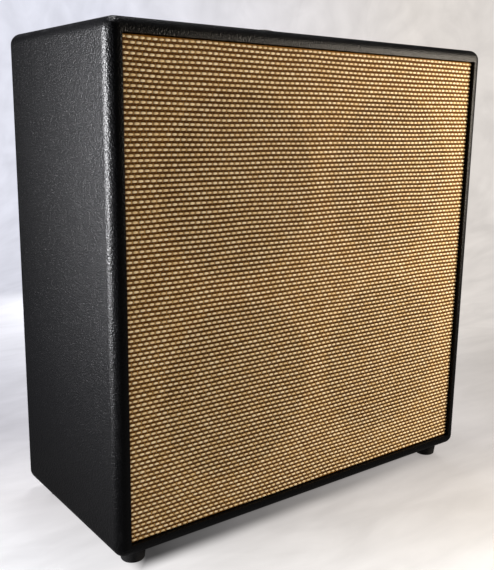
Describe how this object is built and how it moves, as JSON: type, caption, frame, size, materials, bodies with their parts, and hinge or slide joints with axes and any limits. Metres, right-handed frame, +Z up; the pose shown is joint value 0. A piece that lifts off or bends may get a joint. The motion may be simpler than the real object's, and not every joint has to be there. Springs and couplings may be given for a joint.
{
  "type": "guitar speaker cabinet",
  "caption": "Closed-back guitar speaker cabinet: vinyl-covered finger-jointed box, woven grille cloth, round drive units on a baffle, rubber feet, strap handle and rear jack dish.",
  "frame": {"origin": "on the floor under the middle of the cabinet", "axes": "+Z up, the grille faces -Y, +X to the right as seen from the front"},
  "size_m": [0.756, 0.348, 0.8054],
  "materials": {
    "birch_plywood": "birch plywood, edges sanded",
    "painted_plywood": "plywood painted matt black",
    "softwood_batten": "planed softwood",
    "black_vinyl": "grained black vinyl cloth",
    "woven_grille_cloth": "coarse woven cloth in tan, gold and dark brown",
    "hook_and_loop": "black hook-and-loop tape",
    "black_rubber": "moulded black rubber",
    "zinc_steel": "zinc-plated steel",
    "black_steel": "blackened steel",
    "nickel_steel": "nickel-plated steel",
    "moulded_strap": "moulded black strap over a spring steel core",
    "black_plastic": "moulded black plastic",
    "jack_plastic": "moulded plastic jack body",
    "gasket_card": "compressed cork and card gasket",
    "ferrite": "ferrite ceramic ring",
    "brown_board": "phenolic board with plated tags",
    "lead_insulation": "insulated copper lead",
    "painted_basket": "stamped steel, grey paint",
    "doped_edge": "doped pleated paper edge",
    "spider_cloth": "resin-dipped cloth",
    "cone_paper": "dark pulp cone paper",
    "cap_paper": "pressed paper cap",
    "copper_coil": "copper wire wound on a former"
  },
  "bodies": {
    "cabinet": {"back_panel": "birch_plywood", "back_panel_covering": "black_vinyl", "back_panel_screws": "black_steel", "back_screw_cups": "black_steel", "baffle_screws": "zinc_steel", "basket_lower_left": "painted_basket", "basket_lower_right": "painted_basket", "basket_upper_left": "painted_basket", "basket_upper_right": "painted_basket", "bottom_panel": "birch_plywood", "centre_post": "softwood_batten", "foot_screws": "zinc_steel", "foot_washers": "zinc_steel", "front_baffle": "painted_plywood", "front_cleats": "softwood_batten", "front_plates": "zinc_steel", "grille_cloth": "woven_grille_cloth", "grille_frame": "softwood_batten", "grille_pads": "hook_and_loop", "handle_caps": "black_plastic", "handle_screws": "nickel_steel", "input_jack": "jack_plastic", "jack_dish": "black_plastic", "jack_dish_screws": "black_steel", "jack_nut": "nickel_steel", "left_side_panel": "birch_plywood", "magnet_yokes": "zinc_steel", "rear_cleats": "softwood_batten", "right_side_panel": "birch_plywood", "ring_magnets": "ferrite", "rubber_feet": "black_rubber", "speaker_bolts": "zinc_steel", "speaker_gaskets": "gasket_card", "speaker_leads": "lead_insulation", "speaker_tee_nuts": "zinc_steel", "speaker_terminals": "brown_board", "spider_lower_left": "spider_cloth", "spider_lower_right": "spider_cloth", "spider_upper_left": "spider_cloth", "spider_upper_right": "spider_cloth", "surround_lower_left": "doped_edge", "surround_lower_right": "doped_edge", "surround_upper_left": "doped_edge", "surround_upper_right": "doped_edge", "top_panel": "birch_plywood", "vinyl_covering": "black_vinyl"},
    "cone_assembly_upper_left": {"cone_upper_left": "cone_paper", "dust_cap_upper_left": "cap_paper", "voice_coil_upper_left": "copper_coil"},
    "cone_assembly_upper_right": {"cone_upper_right": "cone_paper", "dust_cap_upper_right": "cap_paper", "voice_coil_upper_right": "copper_coil"},
    "cone_assembly_lower_left": {"cone_lower_left": "cone_paper", "dust_cap_lower_left": "cap_paper", "voice_coil_lower_left": "copper_coil"},
    "cone_assembly_lower_right": {"cone_lower_right": "cone_paper", "dust_cap_lower_right": "cap_paper", "voice_coil_lower_right": "copper_coil"},
    "strap": {"handle_strap": "moulded_strap"}
  },
  "joints": [
    {"name": "cone_travel_upper_left", "type": "slide", "parent": "cabinet", "child": "cone_assembly_upper_left", "axis": [0, -1, 0], "range_m": [-0.005, 0.005], "stiffness_N_per_m": 6000, "deforming": ["surround_upper_left", "spider_upper_left"]},
    {"name": "cone_travel_upper_right", "type": "slide", "parent": "cabinet", "child": "cone_assembly_upper_right", "axis": [0, -1, 0], "range_m": [-0.005, 0.005], "stiffness_N_per_m": 6000, "deforming": ["surround_upper_right", "spider_upper_right"]},
    {"name": "cone_travel_lower_left", "type": "slide", "parent": "cabinet", "child": "cone_assembly_lower_left", "axis": [0, -1, 0], "range_m": [-0.005, 0.005], "stiffness_N_per_m": 6000, "deforming": ["surround_lower_left", "spider_lower_left"]},
    {"name": "cone_travel_lower_right", "type": "slide", "parent": "cabinet", "child": "cone_assembly_lower_right", "axis": [0, -1, 0], "range_m": [-0.005, 0.005], "stiffness_N_per_m": 6000, "deforming": ["surround_lower_right", "spider_lower_right"]},
    {"name": "handle_lift", "type": "slide", "parent": "cabinet", "child": "strap", "axis": [0, 0, 1], "range_m": [0, 0.004]}
  ]
}
